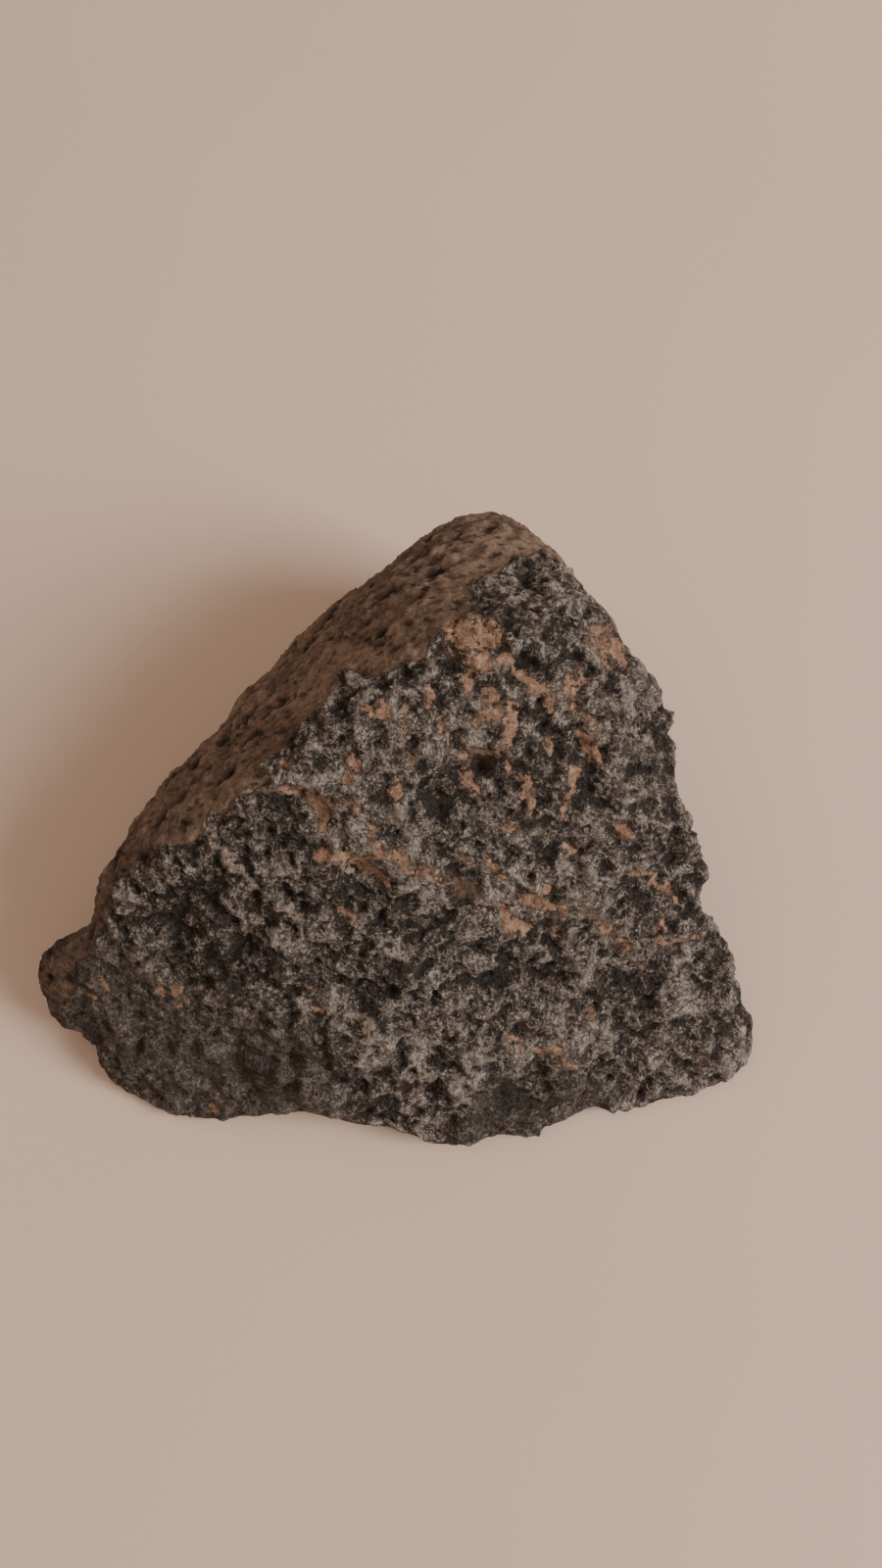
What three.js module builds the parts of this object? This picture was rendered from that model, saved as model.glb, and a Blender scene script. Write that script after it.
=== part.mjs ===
// A dark stony meteorite, 66 mm long, 55 mm deep and 31 mm high, resting on its flat broken side.
//
// Lengths are in millimetres and angles in degrees. +X runs along the stone, +Z is up, and z = 0 is
// the face that it rests on. The grey broken front slopes down towards -Y, and the brown crusted back
// falls away towards -X and +Y.
//
// The stone is one solid. Every point of its surface can be seen from a point inside it, so the
// surface is given by a length along each ray from that point. Broken facets and the outline seen
// from above set the length, then lumps, hollows, ledges, creases and a coarse relief move it in or
// out, and wear takes the jags off its edges.

import * as THREE from 'three';
import { ImprovedNoise } from 'three/addons/math/ImprovedNoise.js';
import { mergeVertices } from 'three/addons/utils/BufferGeometryUtils.js';

const innerPoint = new THREE.Vector3(-2, -11, 7.5);
const triangleRows = 21;
// Rays are crowded where the stone reaches far from the inner point.
const rayStretch = new THREE.Vector3(1.15, 1, 0.66);
const rayShift = new THREE.Vector3(0.02, 0.34, 0.2);

// The higher this is, the sharper are the edges where facets meet.
const edgeSharpness = 16;

// Below footHeight the sides draw in towards the resting face, by footUndercut at the floor.
const footHeight = 3.6;
const footUndercut = 1.6;

// The outline seen from above, at the widest level of each side, clockwise from the right.
const outline = [
  [28.1, -4.2], [27.1, -6.4], [29.3, -8.2], [32.0, -10.4], [36.6, -14.2], [41.4, -19.6],
  [34.2, -24.7], [22.8, -25.5], [18.6, -24.7], [15.4, -27.5], [10.2, -28.4], [5.6, -28.4],
  [2.2, -26.9], [-4.0, -25.3], [-10.0, -24.9], [-18.4, -26.8], [-25.2, -27.8], [-28.4, -22.4],
  [-30.6, -18.4], [-39.3, -17.8], [-37.9, -11.8], [-32.9, -9.1], [-26.9, -8.9], [-24.8, -5.2],
  [-23.7, -3.3], [-21.8, 2.7], [-16.7, 7.8], [-10.5, 16.7], [-1.4, 24.4], [5.6, 28.9],
  [11.0, 28.4], [17.1, 23.1], [20.5, 15.3], [24.4, 9.9], [24.6, 4.4], [25.4, -0.4],
];
const curvePointsPerCorner = 12;

// Each broken facet lies in a plane through a point. It faces the compass direction given by
// `faces`, counted from +X towards +Y, and leans `slope` from level. Past 90 it is undercut.
const facets = [
  // The grey front, in two halves.
  { faces: -72, slope: 38, through: [6.2, 11.5, 31.4] },
  { faces: -106, slope: 42, through: [-14.5, -1.8, 23.6] },
  // The left tip, above and below.
  { faces: -160, slope: 42, through: [-26, -10, 13] },
  { faces: -165, slope: 118, through: [-33.5, -14, 4] },
  // The crusted back: its left, its summit and its undercut.
  { faces: 142, slope: 47, through: [-9.8, 1.4, 26.4] },
  { faces: 88, slope: 35, through: [6, 12, 32] },
  { faces: 125, slope: 110, through: [-16, 12, 12] },
  // The right: its shoulder, its steep side and its undercut.
  { faces: 40, slope: 67, through: [19, 19.5, 21] },
  { faces: 25, slope: 86, through: [28.4, 0, 12] },
  { faces: 22, slope: 106, through: [28.6, 0, 8] },
  // The resting face, before it was worn flat.
  { faces: 0, slope: 180, through: [0, 0, -0.7] },
];

// Lumps stand proud and hollows are sunk. Each has its place, its reach along the surface, and its
// height, which is negative for a hollow.
const lumps = [
  // Bumps along the outline.
  { at: [-26.6, -5.6, 14], reach: 2.4, height: 0.9 },
  { at: [-31.4, -10.4, 8], reach: 3.0, height: 0.8 },
  { at: [5.6, -26.0, 2], reach: 2.8, height: 0.7 },
  { at: [27.6, -4.0, 12], reach: 2.0, height: 0.4 },
  // Mounds on the front.
  { at: [6.6, -19.2, 8.5], reach: 3.6, height: 1.1 },
  { at: [29.6, -19.0, 2.6], reach: 2.8, height: 0.7 },
  { at: [0.8, -1.2, 23], reach: 3.2, height: 0.9 },
  { at: [-2.6, -17.4, 11], reach: 2.2, height: 0.8 },
  { at: [-22.4, -9.6, 13], reach: 2.6, height: 0.8 },
  { at: [19.6, -1.2, 19], reach: 3.4, height: 0.7 },
  { at: [12.0, 10.4, 27.5], reach: 3.0, height: 0.8 },
  { at: [17.6, 6.0, 24.5], reach: 3.0, height: 0.8 },
  { at: [6.4, 4.6, 26.5], reach: 2.4, height: 0.7 },
  // Hollows in the front.
  { at: [-17.0, -8.4, 17], reach: 3.4, height: -1.2 },
  { at: [-8.6, -2.2, 23.5], reach: 3.2, height: -1.0 },
  { at: [-2.2, -7.2, 19.5], reach: 2.8, height: -0.9 },
  { at: [6.4, 0.8, 23.2], reach: 2.6, height: -0.9 },
  { at: [8.8, -12.2, 13.6], reach: 2.8, height: -1.2 },
  { at: [13.6, -13.6, 10.7], reach: 2.2, height: -0.8 },
  { at: [18.8, -14.2, 9.2], reach: 2.4, height: -0.9 },
  { at: [11.6, -22.6, 4.6], reach: 2.6, height: -1.1 },
  { at: [13.2, 3.8, 24], reach: 2.6, height: -0.9 },
  { at: [22.2, -9.8, 11], reach: 2.4, height: -0.8 },
  // Waves in the back and the right side.
  { at: [-15.0, 8.0, 9], reach: 5.0, height: -1.3 },
  { at: [-8.0, 17.0, 11], reach: 4.0, height: 1.0 },
  { at: [1.0, 24.0, 12], reach: 5.0, height: -1.3 },
  { at: [8.0, 26.0, 6], reach: 4.0, height: 0.8 },
  { at: [20.0, 14.0, 12], reach: 5.0, height: -1.6 },
  { at: [24.0, 7.0, 8], reach: 4.0, height: 1.1 },
  { at: [27.0, -2.0, 6], reach: 3.4, height: -1.0 },
  { at: [-20.0, 3.0, 6], reach: 3.4, height: 0.9 },
];

// Ledges and creases run across the front through a few places. A ledge has a proud lip, which is
// the first line, and a groove under it, which is the second. The others are creases.
const seams = [
  {
    through: [[-5.8, -4.1, 22.1], [-1.5, -5.1, 20.8], [6.4, -7.8, 17.3], [20.1, -8.8, 12.7]],
    reach: 1.5,
    height: 0.6,
  },
  {
    through: [[-5.5, -5.9, 20.8], [0, -7, 18.9], [5.6, -9.7, 16.2], [20.3, -10.8, 11.1]],
    reach: 1.4,
    height: -0.6,
  },
  {
    through: [[-15.1, -1.9, 22.7], [-12.6, -5.5, 20.6], [-4.9, -10.2, 17.2], [2.7, -20.8, 8.4]],
    reach: 1.6,
    height: -0.5,
  },
  {
    through: [[19.6, -3.6, 17], [24.4, -7.1, 12.7]],
    reach: 1.4,
    height: -0.6,
  },
];

// The relief is read from a noise pattern, starting at this height in it.
const reliefStart = 7.3;
const coarseRelief = { wave: 11, height: 1.1 };
const fineRelief = { wave: 4.6, height: 0.5 };

// Wear moves each point these shares of the way to the middle of its neighbours, one after another.
// The negative ones give back the size that the others take.
const wearShares = [0.5, -0.52, 0.5, -0.52, 0.5, -0.52];

const stoneFinish = new THREE.MeshStandardMaterial({ color: 0x5a4d44, roughness: 0.88, metalness: 0 });

function unitVector(faces, slope) {
  const turn = THREE.MathUtils.degToRad(faces);
  const lean = THREE.MathUtils.degToRad(slope);
  return new THREE.Vector3(
    Math.sin(lean) * Math.cos(turn),
    Math.sin(lean) * Math.sin(turn),
    Math.cos(lean),
  );
}

const facetPlanes = facets.map(({ faces, slope, through }) => {
  const normal = unitVector(faces, slope);
  const distance = new THREE.Vector3(...through).sub(innerPoint).dot(normal);
  return { normal, distance };
});

// The outline as a smooth closed curve, told by turn around the inner point.
function outlineByTurn() {
  const corners = outline.map(([x, y]) => new THREE.Vector3(x, y, 0));
  const curve = new THREE.CatmullRomCurve3(corners, true, 'centripetal');
  const points = curve.getPoints(outline.length * curvePointsPerCorner).slice(1);
  const samples = points.map((point) => ({
    turn: Math.atan2(point.y - innerPoint.y, point.x - innerPoint.x),
    reach: Math.hypot(point.x - innerPoint.x, point.y - innerPoint.y),
  }));
  return samples.sort((a, b) => a.turn - b.turn);
}

const rim = outlineByTurn();

function rimReach(turn) {
  let next = rim.findIndex((sample) => sample.turn > turn);
  if (next === -1) {
    next = 0;
  }
  const after = rim[next];
  const before = rim[(next + rim.length - 1) % rim.length];
  const fullTurn = 2 * Math.PI;
  const span = (after.turn - before.turn + fullTurn) % fullTurn;
  const part = (turn - before.turn + fullTurn) % fullTurn;
  return THREE.MathUtils.lerp(before.reach, after.reach, part / span);
}

// The length of a ray to the side of the stone, which the outline sets and the foot draws in.
function sideLength(ray) {
  const flat = Math.hypot(ray.x, ray.y);
  const reach = rimReach(Math.atan2(ray.y, ray.x));
  const level = innerPoint.z + (ray.z / flat) * reach;
  const footShare = THREE.MathUtils.clamp(1 - level / footHeight, 0, 1);
  return (reach - footUndercut * footShare ** 2) / flat;
}

// The length of a ray to the facets and the side, with the edges between them worn round.
function facettedLength(ray) {
  let sum = sideLength(ray) ** -edgeSharpness;
  for (const { normal, distance } of facetPlanes) {
    sum += Math.max(0, normal.dot(ray) / distance) ** edgeSharpness;
  }
  return sum ** (-1 / edgeSharpness);
}

const noise = new ImprovedNoise();

function relief(point, { wave, height }) {
  return height * noise.noise(point.x / wave, point.y / wave, point.z / wave + reliefStart);
}

function lumpsAt(point) {
  let total = 0;
  for (const { at, reach, height } of lumps) {
    const away = Math.hypot(point.x - at[0], point.y - at[1], point.z - at[2]) / reach;
    total += height * Math.exp(-away * away);
  }
  return total;
}

const seamLines = seams.map(({ through, reach, height }) => {
  const corners = through.map((corner) => new THREE.Vector3(...corner));
  return { lines: corners.slice(1).map((end, i) => new THREE.Line3(corners[i], end)), reach, height };
});

function seamsAt(point) {
  const nearest = new THREE.Vector3();
  let total = 0;
  for (const { lines, reach, height } of seamLines) {
    const gaps = lines.map((line) => line.closestPointToPoint(point, true, nearest).distanceTo(point));
    const away = Math.min(...gaps) / reach;
    total += height * Math.exp(-away * away);
  }
  return total;
}

function surfacePoint(ray) {
  const worn = ray.clone().multiplyScalar(facettedLength(ray)).add(innerPoint);
  const noiseRelief = relief(worn, coarseRelief) + relief(worn, fineRelief);
  const offset = noiseRelief + lumpsAt(worn) + seamsAt(worn);
  const point = worn.addScaledVector(ray, offset);
  if (point.z < 0) {
    const toFloor = innerPoint.z / -ray.z;
    point.copy(innerPoint).addScaledVector(ray, toFloor).setZ(0);
  }
  return point;
}

// The middle of each point's neighbours. Every edge is met once from each of its two ends.
function neighbourMiddles(geometry) {
  const places = geometry.getAttribute('position');
  const corners = geometry.index.array;
  const middles = Array.from({ length: places.count }, () => new THREE.Vector3());
  const counts = new Array(places.count).fill(0);
  const neighbour = new THREE.Vector3();
  for (let i = 0; i < corners.length; i += 1) {
    const next = i % 3 === 2 ? i - 2 : i + 1;
    middles[corners[i]].add(neighbour.fromBufferAttribute(places, corners[next]));
    counts[corners[i]] += 1;
  }
  return middles.map((sum, i) => sum.divideScalar(counts[i]));
}

// Takes the jags off the edges. The points of the resting face stay level.
function wear(geometry, share) {
  const places = geometry.getAttribute('position');
  const point = new THREE.Vector3();
  neighbourMiddles(geometry).forEach((middle, i) => {
    point.fromBufferAttribute(places, i);
    if (point.z === 0) {
      middle.z = 0;
    }
    point.lerp(middle, share);
    places.setXYZ(i, point.x, point.y, Math.max(0, point.z));
  });
}

function stoneGeometry() {
  const ball = new THREE.IcosahedronGeometry(1, triangleRows);
  ball.deleteAttribute('normal');
  ball.deleteAttribute('uv');
  const geometry = mergeVertices(ball);
  const places = geometry.getAttribute('position');
  const ray = new THREE.Vector3();
  for (let i = 0; i < places.count; i += 1) {
    ray.fromBufferAttribute(places, i);
    ray.multiply(rayStretch).add(rayShift).normalize();
    const point = surfacePoint(ray);
    places.setXYZ(i, point.x, point.y, point.z);
  }
  for (const share of wearShares) {
    wear(geometry, share);
  }
  geometry.computeBoundingBox();
  const middle = geometry.boundingBox.getCenter(new THREE.Vector3());
  geometry.translate(-middle.x, -middle.y, 0);
  geometry.computeVertexNormals();
  return geometry;
}

const meteorite = new THREE.Mesh(stoneGeometry(), stoneFinish);
meteorite.name = 'meteorite';

const group = new THREE.Group();
group.add(meteorite);

export default group;
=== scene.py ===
from math import cos, exp, pi, radians, sin

import bmesh
import bpy
from mathutils import Matrix, Vector, noise


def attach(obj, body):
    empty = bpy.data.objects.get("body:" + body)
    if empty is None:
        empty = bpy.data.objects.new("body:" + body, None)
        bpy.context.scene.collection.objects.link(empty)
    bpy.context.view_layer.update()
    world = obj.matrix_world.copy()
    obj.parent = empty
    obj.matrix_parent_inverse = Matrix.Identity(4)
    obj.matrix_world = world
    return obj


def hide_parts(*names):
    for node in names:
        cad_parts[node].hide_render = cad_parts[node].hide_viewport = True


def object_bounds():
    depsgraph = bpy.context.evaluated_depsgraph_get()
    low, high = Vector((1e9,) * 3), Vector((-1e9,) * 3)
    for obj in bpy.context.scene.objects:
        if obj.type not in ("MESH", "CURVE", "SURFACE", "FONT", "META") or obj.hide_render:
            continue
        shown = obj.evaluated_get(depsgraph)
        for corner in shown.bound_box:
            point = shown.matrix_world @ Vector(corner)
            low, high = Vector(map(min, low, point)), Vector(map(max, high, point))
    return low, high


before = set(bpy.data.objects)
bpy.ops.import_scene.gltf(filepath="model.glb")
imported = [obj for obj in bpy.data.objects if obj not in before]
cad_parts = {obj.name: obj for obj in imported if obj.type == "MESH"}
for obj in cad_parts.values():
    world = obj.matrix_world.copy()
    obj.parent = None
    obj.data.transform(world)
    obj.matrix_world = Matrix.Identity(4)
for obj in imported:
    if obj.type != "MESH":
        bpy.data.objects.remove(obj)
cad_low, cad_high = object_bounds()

scene = bpy.context.scene

# ---------------------------------------------------------------------------------------------------
# The view. A small camera is held close above the stone's grey front and looks steeply down on it,
# with a wide lens. The view is 900 pixels wide and 1600 high, so the sensor's long side is upright.

MM = 0.001
view_target = Vector((4.1, 7.1, 0.0)) * MM
view_distance = 117.9 * MM
view_elevation = radians(76)
sensor_long_side = 36.0
lens_length = 27.0
nearest_seen = 1 * MM

camera_data = bpy.data.cameras.new("camera")
camera_data.sensor_width = sensor_long_side
camera_data.lens = lens_length
camera_data.clip_start = nearest_seen
camera = bpy.data.objects.new("camera", camera_data)
camera.location = view_target + view_distance * Vector((0, -cos(view_elevation), sin(view_elevation)))
camera.rotation_euler = (pi / 2 - view_elevation, 0, 0)
scene.collection.objects.link(camera)
scene.camera = camera

# ---------------------------------------------------------------------------------------------------
# The studio. A wide pale warm floor, one broad soft lamp on the right, a dim one behind on the left,
# and an even light from everywhere else.

floor_size = 1.2
floor_tint = (0.61, 0.465, 0.370)
floor_shade = (0.55, 0.415, 0.325)
floor_mottle_scale = 14.0
floor_roughness = 0.9
floor_shine = 0.2
lamp_aim_height = 10 * MM
room_tint = (1.0, 0.82, 0.70)
room_glow = 0.45

floor_bm = bmesh.new()
bmesh.ops.create_grid(floor_bm, x_segments=1, y_segments=1, size=floor_size / 2)
floor_mesh = bpy.data.meshes.new("floor")
floor_bm.to_mesh(floor_mesh)
floor_bm.free()
floor = bpy.data.objects.new("floor", floor_mesh)
scene.collection.objects.link(floor)

floor_material = bpy.data.materials.new("pale floor")
floor_material.use_nodes = True
floor_nodes = floor_material.node_tree.nodes
floor_links = floor_material.node_tree.links
floor_shader = floor_nodes["Principled BSDF"]
floor_shader.inputs["Roughness"].default_value = floor_roughness
floor_shader.inputs["Specular IOR Level"].default_value = floor_shine
floor_place = floor_nodes.new("ShaderNodeTexCoord")
floor_mottle = floor_nodes.new("ShaderNodeTexNoise")
floor_mottle.inputs["Scale"].default_value = floor_mottle_scale
floor_mix = floor_nodes.new("ShaderNodeMix")
floor_mix.data_type = "RGBA"
floor_mix.inputs[6].default_value = (*floor_tint, 1)
floor_mix.inputs[7].default_value = (*floor_shade, 1)
floor_links.new(floor_place.outputs["Object"], floor_mottle.inputs["Vector"])
floor_links.new(floor_mottle.outputs["Fac"], floor_mix.inputs[0])
floor_links.new(floor_mix.outputs[2], floor_shader.inputs["Base Color"])
floor_mesh.materials.append(floor_material)


def soft_lamp(name, turn, height, away, size, power, colour):
    """A square area lamp that looks at the stone from a turn and a height, both in degrees."""
    lamp_data = bpy.data.lights.new(name, "AREA")
    lamp_data.shape = "SQUARE"
    lamp_data.size = size
    lamp_data.energy = power
    lamp_data.color = colour
    lamp = bpy.data.objects.new(name, lamp_data)
    level = Vector((cos(radians(turn)), sin(radians(turn)), 0)) * cos(radians(height))
    direction = level + Vector((0, 0, sin(radians(height))))
    lamp.location = direction * away + Vector((0, 0, lamp_aim_height))
    lamp.rotation_euler = direction.to_track_quat("Z", "Y").to_euler()
    scene.collection.objects.link(lamp)


soft_lamp("key lamp", turn=-12, height=36, away=0.62, size=0.26, power=5.0, colour=(1.0, 0.97, 0.94))
soft_lamp("fill lamp", turn=150, height=55, away=0.6, size=0.5, power=0.9, colour=(1.0, 0.80, 0.64))

world = bpy.data.worlds.new("room")
world.use_nodes = True
room_light = world.node_tree.nodes["Background"]
room_light.inputs["Color"].default_value = (*room_tint, 1)
room_light.inputs["Strength"].default_value = room_glow
scene.world = world

# ---------------------------------------------------------------------------------------------------
# The stone. One dark stony meteorite, broken across its grey granular front and base, with a dull
# brown weathered crust on its back. Tan clay fills its hollows and thin cracks.

# An even net of fine faces is laid over the rounded solid. Its points are moved to make the grain,
# and then a share of its faces is kept.
skin_step = 0.235 * MM
skin_share = 0.56
weld_gap = 0.001 * MM

stone_bm = bmesh.new()
stone_bm.from_mesh(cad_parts["meteorite"].data)
bmesh.ops.remove_doubles(stone_bm, verts=stone_bm.verts, dist=weld_gap)
stone_mesh = bpy.data.meshes.new("stone")
stone_bm.to_mesh(stone_mesh)
stone_bm.free()
stone = bpy.data.objects.new("stone", stone_mesh)
scene.collection.objects.link(stone)

rounding = stone.modifiers.new("rounding", "SUBSURF")
rounding.levels = 1
rounding.render_levels = 1
skin = stone.modifiers.new("skin", "REMESH")
skin.mode = "VOXEL"
skin.voxel_size = skin_step
skin.use_smooth_shade = True
bpy.context.view_layer.update()
fine_mesh = bpy.data.meshes.new_from_object(stone.evaluated_get(bpy.context.evaluated_depsgraph_get()))
stone.modifiers.clear()
stone.data = fine_mesh
bpy.data.meshes.remove(stone_mesh)

# Marks on the stone are laid out seen from above, in millimetres. A stroke is its half width, near
# enough, and the places that it runs through.
clay_strokes = [
    (1.7, [(5.9, 11.2), (6.8, 10.9)]),
    (1.4, [(17.0, 11.8), (17.6, 11.4)]),
    (0.4, [(6.2, 8.1), (5.9, 7.0)]),
    (0.4, [(9.1, 9.8), (9.8, 8.6)]),
    (0.4, [(10.8, 8.6), (12.5, 7.9), (12.8, 7.2)]),
    (0.4, [(14.9, 9.0), (14.1, 8.2), (14.8, 6.8)]),
    (0.35, [(6.1, 5.3), (8.4, 5.8)]),
    (0.5, [(9.5, 6.4), (9.1, 4.3)]),
    (0.3, [(15.3, 5.5), (16.9, 3.5)]),
    (0.4, [(11.0, 1.7), (11.5, -0.6)]),
    (0.3, [(15.1, 2.1), (14.1, -0.9)]),
    (0.35, [(18.9, -1.1), (19.3, -1.7)]),
    (0.35, [(14.3, -2.9), (15.5, -3.8)]),
    (0.35, [(9.4, -1.6), (9.9, -1.8)]),
    (0.4, [(0.6, 0.6), (0.7, 0.0)]),
    (0.35, [(6.4, 1.3), (7.0, 0.6)]),
    (0.3, [(5.8, 3.0), (8.1, 3.3)]),
    (0.3, [(4.3, 5.2), (4.6, 4.0)]),
    (0.3, [(1.3, 5.6), (1.4, 4.7)]),
    (0.2, [(2.1, -2.4), (2.4, -2.6)]),
    (0.3, [(-8.7, 0.2), (-6.8, 0.4), (-5.3, -1.1), (-5.3, -2.5)]),
    (0.35, [(-5.4, -4.3), (-3.3, -4.1), (-1.7, -5.3), (-0.5, -5.8)]),
    (0.4, [(-1.2, -3.8), (0.5, -4.2), (1.6, -5.1), (3.8, -5.5)]),
    (0.35, [(-3.8, -8.6), (-3.1, -8.9)]),
    (0.2, [(-1.4, -2.1), (-1.1, -2.6)]),
    (0.2, [(-3.9, -0.6), (-2.6, -0.3)]),
    (0.25, [(-16.5, -23.8), (-16.2, -24.1)]),
    (0.15, [(-6.7, -15.7), (-6.2, -16.0)]),
    (0.15, [(-7.3, -14.3), (-6.9, -14.4)]),
    (0.3, [(8.0, -4.2), (9.6, -5.9), (9.1, -6.9), (9.6, -8.7), (11.7, -9.3)]),
    (0.4, [(12.4, -5.5), (12.8, -6.0)]),
    (0.35, [(14.5, -3.0), (15.1, -3.5)]),
    (0.3, [(11.1, -6.9), (13.0, -7.2)]),
    (0.35, [(16.6, -7.3), (17.0, -7.6)]),
    (0.3, [(14.1, -7.7), (13.7, -8.3)]),
    (0.5, [(17.9, -8.9), (18.5, -9.2)]),
    (0.2, [(19.8, -9.9), (20.4, -10.3)]),
    (0.2, [(23.1, -8.0), (23.5, -8.8)]),
    (0.2, [(23.7, -9.9), (26.7, -9.4)]),
    (0.2, [(21.9, -11.6), (22.3, -12.0)]),
    (0.2, [(17.1, -15.3), (17.2, -16.5)]),
    (0.28, [(10.6, -18.2), (13.0, -19.1), (14.0, -18.7), (16.2, -20.2)]),
    (0.16, [(20.3, -4.6), (21.6, -4.9), (23.9, -6.1), (25.4, -7.0)]),
    (0.2, [(26.9, -18.9), (27.7, -19.4)]),
    (0.2, [(7.8, -8.4), (8.1, -8.6)]),
    (0.35, [(5.7, -4.1), (6.1, -4.4)]),
    (0.15, [(4.6, -12.1), (4.9, -12.4)]),
    (0.2, [(-26.3, -13.4), (-25.2, -13.8)]),
    (0.2, [(-19.1, -14.2), (-17.9, -14.4)]),
    (0.2, [(-20.6, -13.4), (-20.2, -13.7)]),
    (0.2, [(-18.6, -15.1), (-18.2, -15.2)]),
    (0.15, [(-26.9, -14.4), (-26.4, -14.5)]),
    (0.3, [(-0.4, 6.2), (-0.3, 5.6)]),
    (0.2, [(-1.5, 6.0), (-1.3, 5.7)]),
    (0.25, [(3.2, 7.4), (3.1, 6.6)]),
    (0.35, [(7.9, 7.2), (7.6, 6.5)]),
    (0.25, [(8.9, 3.2), (9.2, 2.7)]),
    (0.25, [(6.1, 2.5), (6.4, 2.3)]),
    (0.25, [(-3.1, 2.5), (-2.7, 2.1)]),
    (0.25, [(-7.8, 2.0), (-7.3, 1.8)]),
    (0.2, [(15.8, 6.3), (16.0, 5.9)]),
    (0.2, [(0.7, 3.5), (1.1, 3.2)]),
    (0.2, [(13.9, -9.7), (14.3, -9.9)]),
    (0.2, [(12.7, 4.3), (12.9, 3.8)]),
    (0.25, [(4.6, 12.0), (5.0, 11.9)]),
    (0.3, [(-2.7, -0.5), (-2.3, -0.8)]),
    (0.25, [(-1.4, -2.3), (-1.2, -2.8)]),
    (0.25, [(0.1, -1.4), (0.4, -1.8)]),
    (0.25, [(-3.5, 1.4), (-3.1, 1.1)]),
    (0.25, [(-4.9, -0.4), (-4.6, -0.7)]),
    (0.2, [(1.7, 2.6), (1.9, 2.2)]),
]
vein_strokes = [
    (0.19, [(-14.9, -1.8), (-14.0, -3.3), (-11.7, -5.7), (-9.7, -7.5), (-8.1, -8.2), (-7.4, -9.7)]),
    (0.16, [(-5.3, -2.5), (-3.9, -4.6), (-3.1, -6.1)]),
    (0.18, [(-3.7, -16.0), (-2.4, -16.9), (-1.8, -19.7)]),
    (0.14, [(-10.9, 0.6), (-8.7, 0.2), (-6.8, 0.4)]),
    (0.14, [(11.5, -18.5), (13.0, -19.1), (14.0, -18.7), (16.0, -20.1)]),
]
rust_strokes = [
    (0.9, [(4.9, -6.0), (6.7, -6.5)]),
    (0.7, [(7.4, 2.8), (7.7, 2.4)]),
    (0.6, [(13.2, -8.6), (14.5, -7.4)]),
    (0.6, [(19.6, -10.0), (20.4, -10.5)]),
    (0.6, [(27.1, -18.9), (27.8, -19.4)]),
]
# Hollows and mounds: how far each reaches, and its middle.
hollows = [
    (2.5, (-17.1, -8.0)),
    (1.8, (-8.2, -2.0)),
    (1.6, (-2.3, -6.0)),
    (1.4, (4.9, -0.2)),
    (1.4, (7.2, 2.0)),
    (2.4, (8.3, -12.5)),
    (1.6, (13.5, -13.2)),
    (1.6, (18.8, -13.9)),
    (1.8, (12.1, -23.2)),
    (1.4, (13.5, 4.0)),
    (1.4, (22.3, -12.6)),
    (1.6, (20.5, -6.8)),
    (1.2, (25.8, -5.8)),
    (2.2, (-13.2, -12.7)),
    (1.8, (0.0, -13.5)),
    (1.4, (-11.6, -4.0)),
    (1.4, (-3.9, -6.8)),
    (1.2, (10.7, 4.2)),
    (1.4, (12.9, 0.2)),
    (1.8, (8.5, -23.2)),
    (1.2, (3.3, 0.0)),
    (1.2, (16.0, 1.7)),
    (1.2, (13.0, -3.4)),
]
mounds = [
    (2.5, (6.7, -19.0)),
    (1.8, (6.7, -22.3)),
    (1.8, (30.5, -19.3)),
    (2.2, (0.2, -3.2)),
    (2.0, (0.9, -6.0)),
    (2.4, (19.0, 7.4)),
    (1.6, (7.9, 5.0)),
    (1.4, (-14.3, -2.8)),
    (2.0, (-1.7, -18.2)),
    (2.0, (16.5, -5.5)),
    (2.4, (13.7, -17.3)),
    (2.0, (17.3, -18.1)),
    (2.2, (25.1, -13.8)),
    (1.6, (13.4, 15.4)),
    (1.6, (3.3, 4.0)),
    (2.2, (13.6, 6.6)),
    (1.6, (-2.0, 2.1)),
    (1.8, (10.2, -5.7)),
]
# Where the broken face is smoothed, and darkened with painted shade where it turns down and away from the
# lamps.
smooth_shade_spots = [
    (7.0, (-19.0, -20.5)),
    (5.0, (-10.0, -21.5)),
    (5.0, (-26.5, -15.0)),
    (3.5, (8.5, -25.0)),
    (3.0, (16.5, -24.0)),
]
# Where more of the small specks of clay are scattered.
dusty = [
    (6.0, (9.0, 4.5)),
    (6.5, (1.0, 1.0)),
    (5.5, (14.5, -3.5)),
    (5.0, (5.0, -8.0)),
    (4.0, (21.0, -8.0)),
]
# The edge of the brown crust, from the left tip over the ridge and the summit to the right side.
crust_edge = [
    (-40.0, -18.0), (-33.0, -17.2), (-30.2, -16.3), (-28.9, -13.6), (-27.2, -11.0), (-24.8, -8.5),
    (-21.9, -5.1), (-17.7, -3.5), (-14.7, -0.8), (-9.4, 2.0), (-7.6, 4.4), (-5.4, 7.2), (-3.2, 9.7),
    (2.0, 9.4), (3.6, 10.9), (5.2, 12.6), (7.3, 16.0), (10.4, 19.4), (12.8, 21.6), (15.3, 19.2),
    (18.0, 16.2), (22.5, 12.4), (40.0, 9.0),
]
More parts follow.
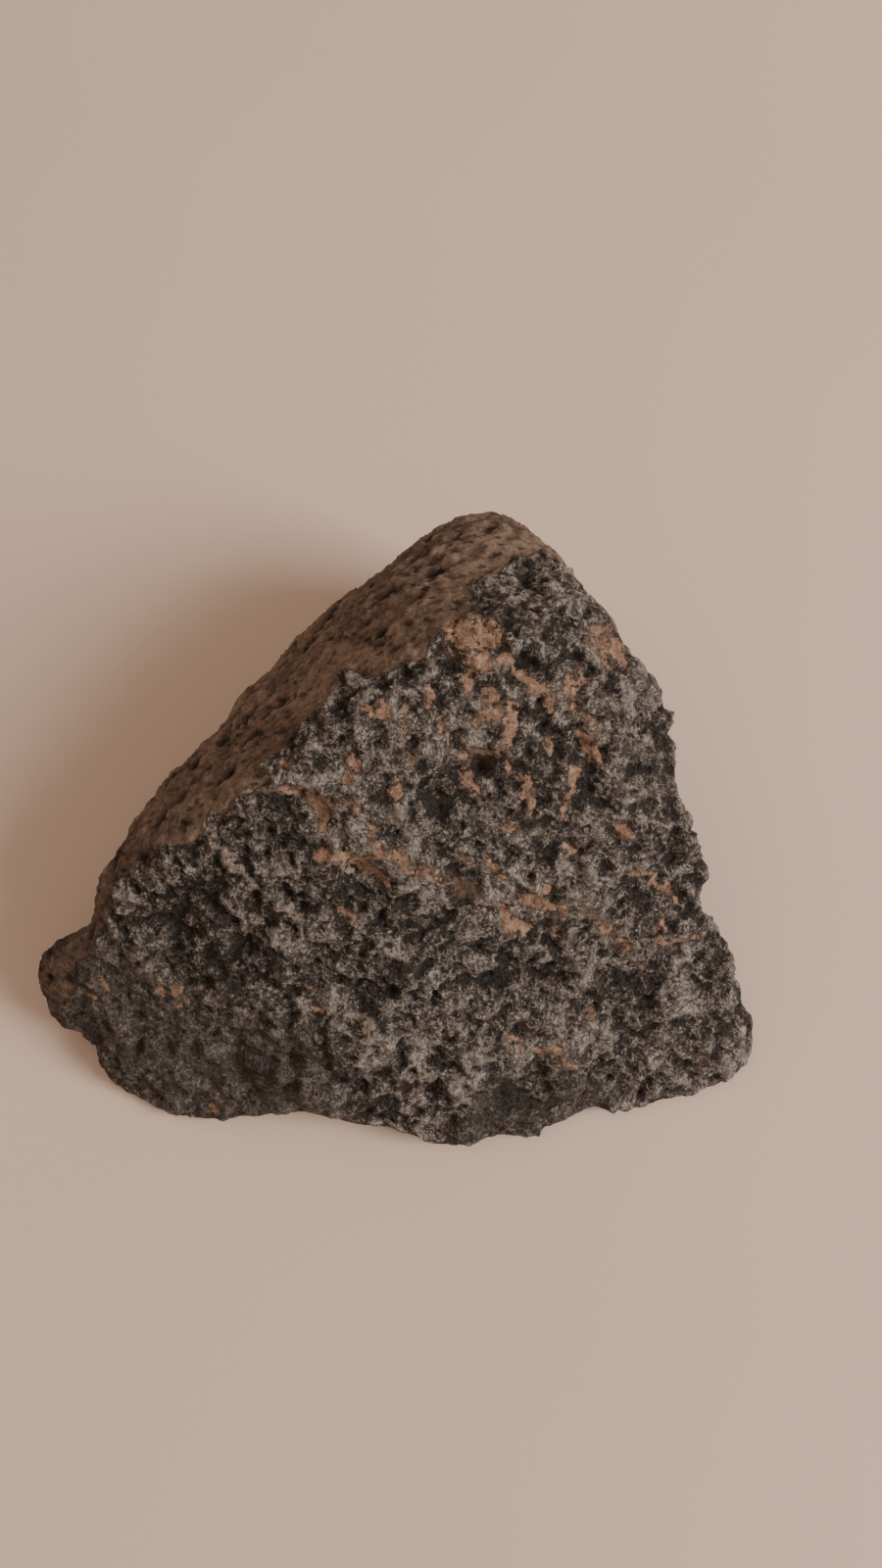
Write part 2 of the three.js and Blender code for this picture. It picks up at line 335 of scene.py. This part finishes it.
# Where the outline is fuller or slimmer than the solid's: how far each reaches, its middle, and the
# move outwards.
trims = [
    (3.5, (31.2, -20.0), 1.2),
    (3.0, (27.0, -22.2), 1.1),
    (3.0, (22.5, -23.2), 1.1),
    (3.5, (14.5, -25.0), 0.7),
    (2.5, (29.8, -3.9), 0.7),
    (3.5, (22.0, 23.5), 0.9),
    (4.0, (-15.0, 15.8), -0.9),
    (3.0, (-27.0, 0.4), -1.1),
    (1.6, (-28.6, -4.6), 0.5),
    (2.5, (-33.2, -9.9), -0.6),
    (2.6, (-28.6, -18.4), -1.2),
    (2.5, (27.0, 10.3), -0.7),
    (3.0, (9.5, 31.0), 0.6),
    (2.2, (17.2, 15.0), 0.7),
    (2.0, (21.6, 9.0), 0.5),
    (1.5, (23.4, 6.6), -0.9),
    (2.5, (27.0, -3.0), -0.4),
]


def smooth_share(value, start, end):
    """0 up to the start, 1 from the end on, and a smooth rise between. The end may be the lower one."""
    share = min(1.0, max(0.0, (value - start) / (end - start)))
    return share * share * (3 - 2 * share)


def flat_line(points):
    return [Vector(point) for point in points]


def gap_to_line(place, line):
    """How far a place is from a line of straight stretches, and on which side of it (left is +)."""
    gap = None
    side = 1.0
    for begin, end in zip(line, line[1:]):
        run = end - begin
        reach = place - begin
        share = min(1.0, max(0.0, reach.dot(run) / run.length_squared))
        away = (reach - run * share).length
        if gap is None or away < gap:
            gap = away
            side = 1.0 if run.cross(reach) > 0 else -1.0
    return gap, side


stroke_spread = 1.4
stroke_margin = 0.22


def laid_strokes(strokes):
    """The strokes with the middle of each and how far it reaches from there."""
    laid = []
    for width, points in strokes:
        line = flat_line(points)
        middle = sum(line, Vector((0, 0))) / len(line)
        reach = max((point - middle).length for point in line) + stroke_spread * width + stroke_margin
        laid.append((width, line, middle, reach))
    return laid


def stroke_share(place, strokes):
    """1 along the middle of a stroke, falling evenly to 0 outside it."""
    best = 0.0
    for width, line, middle, reach in strokes:
        if (place - middle).length < reach:
            gap, _ = gap_to_line(place, line)
            best = max(best, 1 - gap / (stroke_spread * width + stroke_margin))
    return best


spot_end = 6


def laid_spots(spots):
    return [(reach, Vector(middle)) for reach, middle in spots]


def spot_share(place, spots):
    """The sum of round spots, each 1 at its middle and fading beyond its reach."""
    total = 0.0
    for reach, middle in spots:
        away = (place - middle).length_squared / (reach * reach)
        if away < spot_end:
            total += exp(-away)
    return total


def outward_move(place):
    return sum(rise * exp(-(place - middle).length_squared / reach**2) for reach, middle, rise in trims_laid)


clay_laid = laid_strokes(clay_strokes)
vein_laid = laid_strokes(vein_strokes)
rust_laid = laid_strokes(rust_strokes)
hollows_laid = laid_spots(hollows)
mounds_laid = laid_spots(mounds)
smooth_shade_spots_laid = laid_spots(smooth_shade_spots)
dusty_laid = laid_spots(dusty)
trims_laid = [(reach, Vector(middle), rise) for reach, middle, rise in trims]
edge_line = flat_line(crust_edge)

# The noise that bends shapes differs from start to start unless it is seeded.
noise.seed_set(4)

# Where a pit's rim and floor, a knob's edge and a chip's seam lie, as shares of a random cell.
pit_rim = 0.52
pit_floor = 0.12
knob_edge = 0.55
chip_seam = 0.3
# How high a knob usually is, as a share of the highest, and how much that changes from knob to knob.
knob_usual = 0.7
knob_change = 0.3
# What the middle of a cell is multiplied by, so that each pattern draws its own random numbers.
pit_draw = 7.31
knob_draw = 3.7
chip_draw = 5.3


def bend(point, reach, size):
    """A point pushed to and fro, so that even shapes come out irregular."""
    return point + reach * noise.noise_vector(point / size)


def rolls(point, size, height, soften, layers, shift=(0, 0, 0), step=2.1):
    """Rolling ups and downs with finer layers on them."""
    return height * noise.fractal(point / size + Vector(shift), soften, step, layers)


def pits(point, size, depth, share):
    """Round pits in a share of the cells of a random pattern."""
    gaps, middles = noise.voronoi(point / size)
    if noise.cell(middles[0] * pit_draw) > 2 * share - 1:
        return 0.0
    return -depth * smooth_share(gaps[0], pit_rim, pit_floor)


def knobs(point, size, height):
    """Low domes of many heights that crowd together, with creases between them."""
    gaps, middles = noise.voronoi(point / size)
    own_height = height * (knob_usual + knob_change * noise.cell(middles[0] * knob_draw))
    return own_height * (knob_edge - gaps[0])


def chips(point, size, slope):
    """Flat breaks, each with its own tilt, that run out where they meet."""
    gaps, middles = noise.voronoi(point / size)
    rise = (point / size - middles[0]).dot(noise.cell_vector(middles[0] * chip_draw))
    return slope * size * rise * smooth_share(gaps[1] - gaps[0], 0.0, chip_seam)


soft_pocket_depth = 0.32
soft_pocket_start = 0.10
soft_pocket_full = 0.60
crest_height = 0.15
crest_size = 1.9
crest_width = 0.10
crest_shift = Vector((5, 2, 8))
crest_patch = 3.1
crest_patch_start = -0.15
crest_patch_full = 0.25
front_rise = 0.04


def front_relief(p):
    """The broken face: its broad swells and flat chips, and the knobs and pockets on them."""
    bent = bend(p, reach=0.9, size=1.7)
    broad = rolls(p, size=4.2, height=0.45, soften=0.8, layers=2) + chips(p, size=4.6, slope=0.26)
    rough = rolls(p, size=1.15, height=0.40, soften=0.6, layers=3, shift=(9, 3, 1))
    rough += knobs(bent, size=2.3, height=0.68)
    pocket = rolls(bent, size=1.6, height=1.0, soften=0.7, layers=2, step=2.0)
    pockets = pits(bent, size=2.1, depth=0.24, share=0.26)
    pockets -= soft_pocket_depth * smooth_share(pocket, soft_pocket_start, soft_pocket_full)
    crest_line = abs(noise.noise(bent / crest_size + crest_shift))
    crests = crest_height * smooth_share(crest_line, crest_width, 0.0)
    crests *= smooth_share(noise.noise(p / crest_patch), crest_patch_start, crest_patch_full)
    return broad, rough + pockets + crests + front_rise


# The crust was drawn out along the ridge, so its pits and streaks are long that way.
ridge_turn = radians(33.5)
along_ridge = Matrix.Rotation(-ridge_turn, 3, "Z")
pit_stretch = 2.0
small_pit_shift = Vector((4, 1, 7))
holed_share = 0.40
holed_change = 0.35
holed_patch = 4.7
crust_rise = 0.12


def crust_relief(p):
    """The crust: low swells, and the lumps, streaks and pits on them."""
    long_way = along_ridge @ bend(p, reach=0.8, size=2.1)
    long_way.x /= pit_stretch
    broad = rolls(p, size=4.4, height=0.22, soften=0.9, layers=2)
    rough = rolls(p, size=1.2, height=0.22, soften=0.6, layers=3, shift=(2, 6, 4))
    streaks = rolls(long_way, size=1.1, height=0.14, soften=0.7, layers=2)
    holed = holed_share + holed_change * noise.noise(p / holed_patch)
    holes = pits(long_way, size=1.35, depth=0.60, share=holed)
    holes += pits(long_way + small_pit_shift, size=0.8, depth=0.30, share=holed)
    return broad, rough + streaks + holes + crust_rise


# From the upright share of a normal: where a place counts as steep, and where as facing up.
steep_start = 0.55
steep_full = 0.0
upward_start = -0.1
upward_full = 0.3
# How much the edges of marks wander and fade, how low the crust reaches and how wide its worn rim is,
# in millimetres. The crust's edge also strays in long waves, and further on steep sides.
wobble_size = 1.6
wobble_shift = Vector((3, 7, 5))
edge_wander = 1.2
edge_fade = 0.8
lowest_crust = 0.8
full_crust = 2.4
worn_end = 3.0
worn_full = 1.4
smooth_shade_wander = 2
mark_wander = 0.4
mark_shred = 0.6
mark_shred_size = 0.9
mark_fray = 0.25
mark_fray_size = 0.45
edge_stray_size = 6.0
edge_stray_on_steep = 5
# How deep hollows are, how far veins stand out and the whole skin is drawn in, and how far above the
# floor the relief begins and is full, in millimetres.
hollow_depth = 0.4
vein_height = 0.15
stone_sink = 0.05
floor_reach = 0.02
floor_clearance = 0.7
# The share of the relief that steep places, smoothed shaded places, wear and clay take away. Clay begins to
# do so partway in from a stroke's edge.
steep_broad_cut = 0.5
steep_detail_cut = 0.72
smooth_shade_detail_cut = 0.4
worn_detail_cut = 0.5
clay_detail_cut = 0.5
clay_cut_start = 0.4
clay_cut_full = 0.8
# How much painted shade darkens the stone for its depth: when level, for each millimetre of detail, and in a
# hollow.
level_painted_shade = 0.4
detail_painted_shade = -1.15
hollow_painted_shade = 0.25

# The marks that each point keeps. The hollow mark is painted shade by depth, and it also guides the clay.
# The smoothed places are also painted darker as shade.
marks = {name: [] for name in ("crust", "worn", "smooth_shade", "dusty", "clay", "vein", "rust", "hollow_and_shade")}
moves = []
normals = [vertex.normal.copy() for vertex in fine_mesh.vertices]
for vertex, normal in zip(fine_mesh.vertices, normals):
    p = vertex.co / MM
    place = Vector((p.x, p.y))
    steep = smooth_share(normal.z, steep_start, steep_full)
    upward = smooth_share(normal.z, upward_start, upward_full)
    wobble = Vector((noise.noise(p / wobble_size), noise.noise(p / wobble_size + wobble_shift)))
    stray = noise.noise_vector(p / edge_stray_size).xy * (1 + edge_stray_on_steep * steep)
    edge_gap, edge_side = gap_to_line(place + edge_wander * wobble + stray, edge_line)
    crust = smooth_share(edge_gap * edge_side, -edge_fade, edge_fade)
    crust *= smooth_share(p.z + edge_fade * wobble.x, lowest_crust, full_crust)
    worn = crust * smooth_share(edge_gap, worn_end, worn_full)
    # Smoothed places, which the colour also darkens with painted shade.
    smooth_shade = min(1.0, spot_share(place + smooth_shade_wander * wobble, smooth_shade_spots_laid)) * (1 - crust)
    mark_place = place + mark_wander * wobble
    mark_place += mark_shred * noise.noise_vector(p / mark_shred_size).xy
    mark_place += mark_fray * noise.noise_vector(p / mark_fray_size).xy
    clay = stroke_share(mark_place, clay_laid) * upward
    vein = stroke_share(mark_place, vein_laid) * upward
    rust = stroke_share(mark_place, rust_laid) * upward
    dusty = min(1.0, spot_share(place, dusty_laid)) * upward * (1 - crust)
    hollow_and_shade = (spot_share(place, hollows_laid) - spot_share(place, mounds_laid)) * upward
    broad = detail = 0.0
    if crust < 1:
        front_broad, front_detail = front_relief(p)
        broad += front_broad * (1 - steep_broad_cut * steep) * (1 - crust)
        detail += front_detail * (1 - steep_detail_cut * steep) * (1 - smooth_shade_detail_cut * smooth_shade) * (1 - crust)
    if crust > 0:
        crust_broad, crust_detail = crust_relief(p)
        broad += crust_broad * crust
        detail += crust_detail * (1 - worn_detail_cut * worn) * crust
    # Clay lies level in its hollow, and a vein stands a little proud.
    level_clay = 1 - clay_detail_cut * smooth_share(clay, clay_cut_start, clay_cut_full)
    move = broad - hollow_depth * hollow_and_shade + detail * level_clay + vein_height * vein - stone_sink
    moves.append(move * smooth_share(p.z, floor_reach, floor_clearance))
    # Painted shade by depth: darker in hollows and low places, lighter on knobs and mounds. The same mark
    # also guides where clay lies.
    painted_shade = level_painted_shade + detail_painted_shade * detail + hollow_painted_shade * hollow_and_shade
    painted_shade_share = min(1.0, max(0.0, painted_shade))
    for values, value in zip(marks.values(), (crust, worn, smooth_shade, dusty, clay, vein, rust, painted_shade_share)):
        values.append(value)

for vertex, normal, move in zip(fine_mesh.vertices, normals, moves):
    outward = Vector((normal.x, normal.y, 0)) * outward_move(vertex.co.xy / MM)
    vertex.co += (normal * move + outward) * MM
for name, values in marks.items():
    attribute = fine_mesh.attributes.new(name, "FLOAT", "POINT")
    attribute.data.foreach_set("value", values)
fine_mesh.update()

# Flat places, and above all the base, need few faces.
thinning = stone.modifiers.new("thinning", "DECIMATE")
thinning.ratio = skin_share
thin_mesh = bpy.data.meshes.new_from_object(stone.evaluated_get(bpy.context.evaluated_depsgraph_get()))
stone.modifiers.clear()
stone.data = thin_mesh
bpy.data.meshes.remove(fine_mesh)
thin_mesh.name = "stone"
# No point may leave the solid's box.
for vertex in thin_mesh.vertices:
    vertex.co = [min(high, max(low, value)) for value, low, high in zip(vertex.co, cad_low, cad_high)]
thin_mesh.update()

# The stone's colours, each from its dark to its light, and how much it shines.
grain_colours = (
    (0.30, (0.011, 0.0070, 0.0050)),
    (0.42, (0.034, 0.0250, 0.0193)),
    (0.53, (0.092, 0.0735, 0.060)),
    (0.66, (0.200, 0.166, 0.141)),
    (0.84, (0.350, 0.298, 0.257)),
)
# Painted shade: near-black for the deepest pockets and holes, and a darker, calmer tone for the smoothed
# places.
pocket_shade_colours = ((0.40, (0.010, 0.0065, 0.0048)), (0.70, (0.046, 0.033, 0.026)))
smooth_shade_colours = ((0.35, (0.020, 0.015, 0.012)), (0.65, (0.095, 0.076, 0.063)))
crust_colours = (
    (0.20, (0.014, 0.0095, 0.007)),
    (0.36, (0.060, 0.037, 0.026)),
    (0.50, (0.124, 0.078, 0.054)),
    (0.68, (0.235, 0.158, 0.112)),
)
clay_colours = ((0.32, (0.120, 0.067, 0.041)), (0.52, (0.228, 0.138, 0.092)), (0.72, (0.350, 0.232, 0.163)))
vein_colours = ((0.35, (0.130, 0.098, 0.076)), (0.65, (0.330, 0.255, 0.205)))
rust_colours = ((0.30, (0.045, 0.022, 0.012)), (0.70, (0.150, 0.080, 0.045)))
stone_shine = 0.35
# Noise and random colours run from 0 to 1 and are about halfway on average.
halfway = 0.5

stone_material = bpy.data.materials.new("meteorite stone")
stone_material.use_nodes = True
nodes = stone_material.node_tree.nodes
links = stone_material.node_tree.links
shader = nodes["Principled BSDF"]
shader.inputs["Specular IOR Level"].default_value = stone_shine
stone_place = nodes.new("ShaderNodeTexCoord").outputs["Object"]


def link_value(value, socket):
    if isinstance(value, bpy.types.NodeSocket):
        links.new(value, socket)
    else:
        socket.default_value = value


def grain(size, detail, roughness, twist=0.0):
    """Noise with waves of a size in millimetres. A twist curls it."""
    node = nodes.new("ShaderNodeTexNoise")
    node.inputs["Scale"].default_value = 1 / (size * MM)
    node.inputs["Detail"].default_value = detail
    node.inputs["Roughness"].default_value = roughness
    node.inputs["Distortion"].default_value = twist
    links.new(stone_place, node.inputs["Vector"])
    return node.outputs["Fac"]


def cells(size, place):
    """Random cells of a size in millimetres: the gap to the middle, a colour, and its red and green."""
    node = nodes.new("ShaderNodeTexVoronoi")
    node.inputs["Scale"].default_value = 1 / (size * MM)
    links.new(place, node.inputs["Vector"])
    parts = nodes.new("ShaderNodeSeparateColor")
    links.new(node.outputs["Color"], parts.inputs["Color"])
    return node.outputs["Distance"], node.outputs["Color"], parts.outputs["Red"], parts.outputs["Green"]


def mark(name):
    node = nodes.new("ShaderNodeAttribute")
    node.attribute_name = name
    return node.outputs["Fac"]


def math_value(operation, first, second=0.0, third=0.0):
    node = nodes.new("ShaderNodeMath")
    node.operation = operation
    for value, socket in zip((first, second, third), node.inputs):
        link_value(value, socket)
    return node.outputs[0]


def weighted_sum(start, *parts):
    """A start, plus each pattern times its weight."""
    total = start
    for pattern, weight in parts:
        total = math_value("MULTIPLY_ADD", pattern, weight, total)
    return total


def ramp(value, low, high, to_low=0.0, to_high=1.0):
    """A smooth rise from low to high. Low may be above high, and the ramp then falls."""
    node = nodes.new("ShaderNodeMapRange")
    node.interpolation_type = "SMOOTHSTEP"
    for name, setting in (("From Min", low), ("From Max", high), ("To Min", to_low), ("To Max", to_high)):
        node.inputs[name].default_value = setting
    links.new(value, node.inputs["Value"])
    return node.outputs[0]


def shades(value, stops):
    node = nodes.new("ShaderNodeValToRGB")
    elements = node.color_ramp.elements
    while len(elements) < len(stops):
        elements.new(halfway)
    for element, (position, colour) in zip(elements, stops):
        element.position = position
        element.color = (*colour, 1)
    links.new(value, node.inputs["Fac"])
    return node.outputs["Color"]


def mix_colour(share, first, second):
    node = nodes.new("ShaderNodeMix")
    node.data_type = "RGBA"
    link_value(share, node.inputs[0])
    links.new(first, node.inputs[6])
    links.new(second, node.inputs[7])
    return node.outputs[2]


def vector_value(operation, first, second=(0, 0, 0), scale=1.0):
    node = nodes.new("ShaderNodeVectorMath")
    node.operation = operation
    for value, socket in zip((first, second, scale), (node.inputs[0], node.inputs[1], node.inputs[3])):
        link_value(value, socket)
    return node.outputs[0]


# The broken stone is a mass of crystals. Each has its own shade and its own tilt. A span says where a
# pattern begins to show and where it is full, and a cover is the most that it hides.
crystal_size = 0.36
crystal_warp = 0.4 * MM
crystal_warp_size = 0.8 * MM
crystal_lean = 0.6
crystal_light_span = (0.2, 1.0)
crystal_core_span = (0.75, 0.15)
highlight_rim_span = (0.045, 0.0)
# Where the deepest pockets take painted shade, and the most of it.
pocket_shade_span = (0.48, 0.88)
pocket_shade_cover = 0.85
mid_grey = (halfway, halfway, halfway)

warp_noise = nodes.new("ShaderNodeTexNoise")
warp_noise.inputs["Scale"].default_value = 1 / crystal_warp_size
warp_noise.inputs["Detail"].default_value = 2
links.new(stone_place, warp_noise.inputs["Vector"])
warp = vector_value("SUBTRACT", warp_noise.outputs["Color"], mid_grey)
warp = vector_value("SCALE", warp, scale=crystal_warp)
warped_place = vector_value("ADD", stone_place, warp)
crystal_gap, crystal_tint, crystal_red, crystal_green = cells(crystal_size, warped_place)
crystal_light = ramp(crystal_red, *crystal_light_span)
crystal_flake = math_value("MULTIPLY", crystal_light, ramp(crystal_gap, *crystal_core_span))

fine_grain = grain(0.32, detail=3, roughness=0.75, twist=0.2)
clump_grain = grain(1.4, detail=4, roughness=0.6, twist=0.4)
patch_grain = grain(5.5, detail=3, roughness=0.5)
# Painted highlights along thin curving crests. They also rise a little in the bump below.
highlight_rim_gap = math_value("SUBTRACT", grain(1.0, detail=3, roughness=0.6, twist=0.5), halfway)
highlight_rim = ramp(math_value("ABSOLUTE", highlight_rim_gap), *highlight_rim_span)
hollow_and_shade_mark = mark("hollow_and_shade")
smooth_shade_mark = mark("smooth_shade")

# The front's tone: lighter along the painted highlight crests, and darker with painted shade in the hollows.
front_level = weighted_sum(
    -0.190,
    (clump_grain, 0.54),
    (fine_grain, 0.74),
    (crystal_flake, 0.22),
    (highlight_rim, 0.25),
    (patch_grain, 0.30),
    (hollow_and_shade_mark, -0.46),
)
# Painted shade: the deepest hollows, away from the clumps, turn near-black.
pocket_shade_level = weighted_sum(0.6, (hollow_and_shade_mark, 1.0), (clump_grain, -1.2))
pocket_shade_colour = shades(fine_grain, pocket_shade_colours)
front_colour = shades(front_level, grain_colours)
pocket_shade_mask = ramp(pocket_shade_level, *pocket_shade_span, to_high=pocket_shade_cover)
front_colour = mix_colour(pocket_shade_mask, front_colour, pocket_shade_colour)
smooth_shade_colour = shades(fine_grain, smooth_shade_colours)

# The crust is streaked, spotted and holed. Painted shade darkens its holes and its narrow end, which turns
# away from the key lamp, and it is paler along its edge.
crust_dot_size = 0.62
crust_dot_pick_span = (0.50, 0.62)
crust_dot_span = (0.42, 0.22)
crust_hole_shade_span = (0.60, 0.92)
crust_hole_shade_cover = 0.85
shaded_end_span = (-12 * MM, -26 * MM)

ridge_place = nodes.new("ShaderNodeMapping")
ridge_place.inputs["Rotation"].default_value = (0, 0, -ridge_turn)
ridge_place.inputs["Scale"].default_value = (1 / pit_stretch, 1, 1)
links.new(stone_place, ridge_place.inputs["Vector"])
dot_gap, _, dot_red, _ = cells(crust_dot_size, ridge_place.outputs["Vector"])
dot_picked = ramp(dot_red, *crust_dot_pick_span)
crust_dot = math_value("MULTIPLY", dot_picked, ramp(dot_gap, *crust_dot_span))
crust_streaks = grain(0.60, detail=5, roughness=0.70, twist=0.6)
place_parts = nodes.new("ShaderNodeSeparateXYZ")
links.new(stone_place, place_parts.inputs["Vector"])
# Painted shade towards the narrow end.
shaded_end = ramp(place_parts.outputs["X"], *shaded_end_span)
crust_level = weighted_sum(
    0.18,
    (crust_streaks, 0.75),
    (patch_grain, 0.25),
    (hollow_and_shade_mark, -0.50),
    (shaded_end, -0.12),
    (mark("worn"), 0.05),
    (crust_dot, -0.16),
)
crust_colour = shades(crust_level, crust_colours)
# Painted shade: the crust's deepest holes take the near-black pocket shade.
crust_hole_shade_mask = ramp(hollow_and_shade_mark, *crust_hole_shade_span, to_high=crust_hole_shade_cover)
crust_colour = mix_colour(crust_hole_shade_mask, crust_colour, pocket_shade_colour)

clay_grain = grain(0.6, detail=4, roughness=0.65)
clay_colour = shades(clay_grain, clay_colours)
vein_colour = shades(clay_grain, vein_colours)
rust_colour = shades(clay_grain, rust_colours)

# Where each lies. Ragged noise breaks the edges of the marks, and clay keeps to the hollows.
clay_span = (0.46, 0.66)
clay_reach_span = (0.02, 0.22)
speck_span = (0.75, 0.80)
stain_span = (0.08, 0.55)
stain_cover = 0.45
vein_span = (0.36, 0.64)
rust_span = (0.1, 0.9)
rust_cover = 0.75
crust_span = (0.60, 0.95)
smooth_shade_cover = 0.6

ragged = weighted_sum(
    -2.25,
    (grain(0.8, detail=4, roughness=0.7), 1.7),
    (fine_grain, 1.4),
    (grain(2.3, detail=2, roughness=0.5, twist=0.8), 1.4),
)
clay_mark = mark("clay")
clay_share = math_value("MULTIPLY", clay_mark, weighted_sum(0.70, (hollow_and_shade_mark, 1.3)))
clay_mask = ramp(weighted_sum(clay_share, (ragged, 1.7)), *clay_span)
clay_mask = math_value("MULTIPLY", clay_mask, ramp(clay_mark, *clay_reach_span))
speck_level = weighted_sum(grain(0.8, detail=4, roughness=0.7, twist=0.3), (mark("dusty"), 0.12))
clay_mask = math_value("MAXIMUM", clay_mask, ramp(speck_level, *speck_span))
stain_mask = ramp(weighted_sum(clay_share, (ragged, 0.8)), *stain_span, to_high=stain_cover)
vein_mask = ramp(weighted_sum(mark("vein"), (ragged, 0.9)), *vein_span)
rust_mask = ramp(weighted_sum(mark("rust"), (ragged, 0.8)), *rust_span, to_high=rust_cover)
crust_mask = ramp(weighted_sum(mark("crust"), (clump_grain, 0.6)), *crust_span)

# The smoothed places take their darker painted shade first, and then the crust and the marks go on top.
stone_colour = mix_colour(math_value("MULTIPLY", smooth_shade_mark, smooth_shade_cover), front_colour, smooth_shade_colour)
stone_colour = mix_colour(crust_mask, stone_colour, crust_colour)
stone_colour = mix_colour(math_value("MAXIMUM", rust_mask, stain_mask), stone_colour, rust_colour)
stone_colour = mix_colour(vein_mask, stone_colour, vein_colour)
stone_colour = mix_colour(clay_mask, stone_colour, clay_colour)
links.new(stone_colour, shader.inputs["Base Color"])

# Crystals glint a little. Crust and clay are dull.
dull_roughness = 0.88
crystal_dullest = 0.92
crystal_glossiest = 0.60
crystal_gloss_span = (0.1, 1.0)

crystal_roughness = ramp(crystal_green, *crystal_gloss_span, crystal_dullest, crystal_glossiest)
dull_share = math_value("MAXIMUM", crust_mask, clay_mask)
roughness_rise = math_value("SUBTRACT", dull_roughness, crystal_roughness)
stone_roughness = math_value("MULTIPLY_ADD", roughness_rise, dull_share, crystal_roughness)
links.new(stone_roughness, shader.inputs["Roughness"])

# Each crystal's face leans its own way, and the grain stands out in low relief.
bump_depth = 0.5 * MM
bump_strength = 0.9
clay_smoothing = -0.6

crystal_share = math_value("SUBTRACT", 1.0, dull_share)
lean = vector_value("SUBTRACT", crystal_tint, mid_grey)
lean = vector_value("SCALE", lean, scale=math_value("MULTIPLY", crystal_share, crystal_lean))
surface = nodes.new("ShaderNodeNewGeometry")
leaning = vector_value("NORMALIZE", vector_value("ADD", surface.outputs["Normal"], lean))

front_height = weighted_sum(fine_grain, (clump_grain, 2.4), (highlight_rim, 0.3))
crust_height = weighted_sum(crust_streaks, (crust_dot, -0.5))
height_gap = math_value("SUBTRACT", crust_height, front_height)
bump_height = math_value("MULTIPLY_ADD", height_gap, crust_mask, front_height)
bump_height = math_value("MULTIPLY", bump_height, weighted_sum(1.0, (clay_mask, clay_smoothing)))
bump = nodes.new("ShaderNodeBump")
bump.inputs["Distance"].default_value = bump_depth
bump.inputs["Strength"].default_value = bump_strength
links.new(bump_height, bump.inputs["Height"])
links.new(leaning, bump.inputs["Normal"])
links.new(bump.outputs["Normal"], shader.inputs["Normal"])

thin_mesh.materials.clear()
thin_mesh.materials.append(stone_material)
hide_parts("meteorite")
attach(stone, "root")
